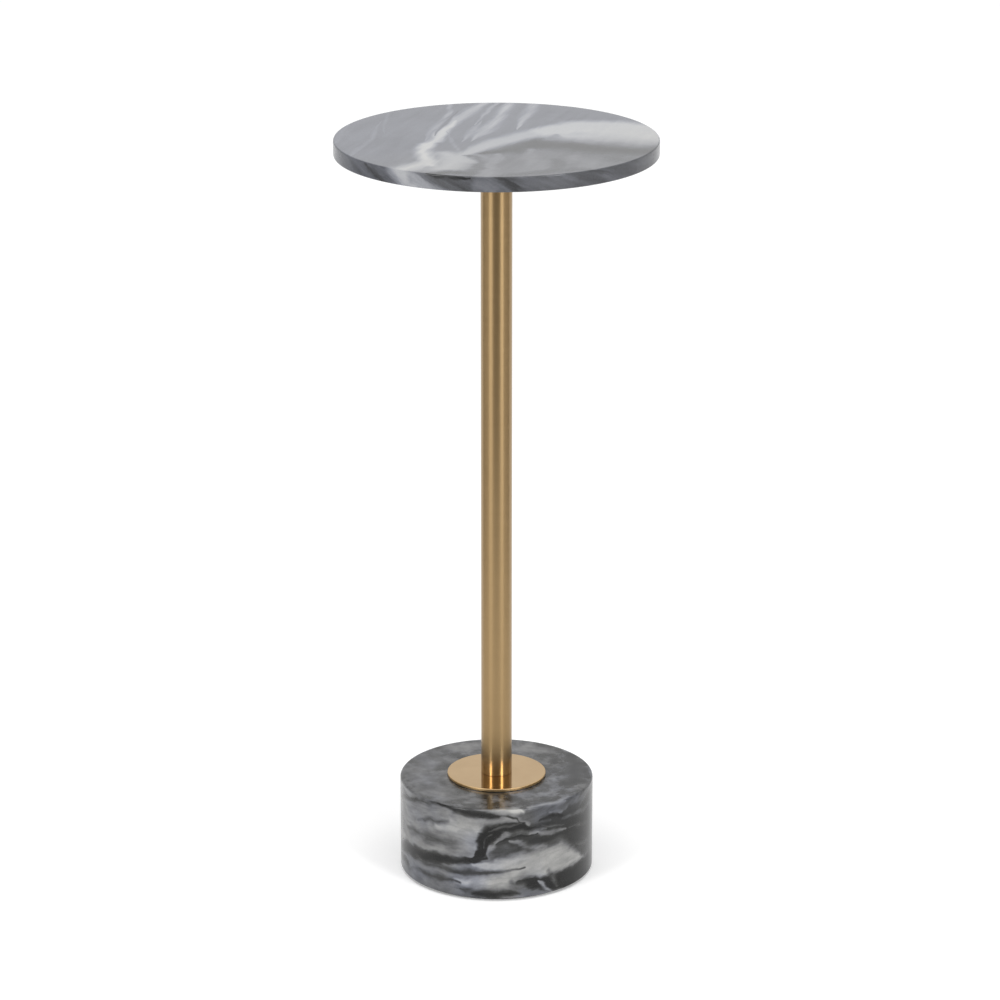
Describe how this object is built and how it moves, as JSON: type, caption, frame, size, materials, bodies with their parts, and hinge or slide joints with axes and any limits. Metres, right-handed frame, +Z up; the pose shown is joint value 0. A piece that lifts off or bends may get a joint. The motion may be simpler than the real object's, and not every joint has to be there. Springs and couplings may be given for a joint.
{
  "type": "wine table",
  "caption": "Small round drinks table: a polished grey marble top on a slim brushed brass tube column, on a brass flange and a heavy marble drum base.",
  "frame": {"origin": "on the floor under the drum, on the axis of the column", "axes": "+Z up along the column, +X to the right and -Y towards the camera in the picture"},
  "size_m": [0.254, 0.254, 0.61],
  "materials": {
    "grey_marble": "polished",
    "brushed_brass": "satin",
    "polished_brass": "polished",
    "turned_brass": "satin",
    "zinc_steel": "satin",
    "black_plate": "satin",
    "black_rubber": "matte",
    "grey_gasket": "matte"
  },
  "bodies": {
    "root": {"marble_top": "grey_marble", "top_inserts": "turned_brass", "top_plate": "black_plate", "top_plate_screws": "zinc_steel", "top_stud": "zinc_steel", "upper_plug": "zinc_steel", "column_tube": "brushed_brass", "lower_plug": "zinc_steel", "base_flange": "polished_brass", "flange_gasket": "grey_gasket", "marble_drum": "grey_marble", "clamp_cushion": "black_rubber", "clamp_washer": "zinc_steel", "spring_washer": "zinc_steel", "base_bolt": "zinc_steel", "floor_pad": "black_rubber"}
  },
  "joints": []
}
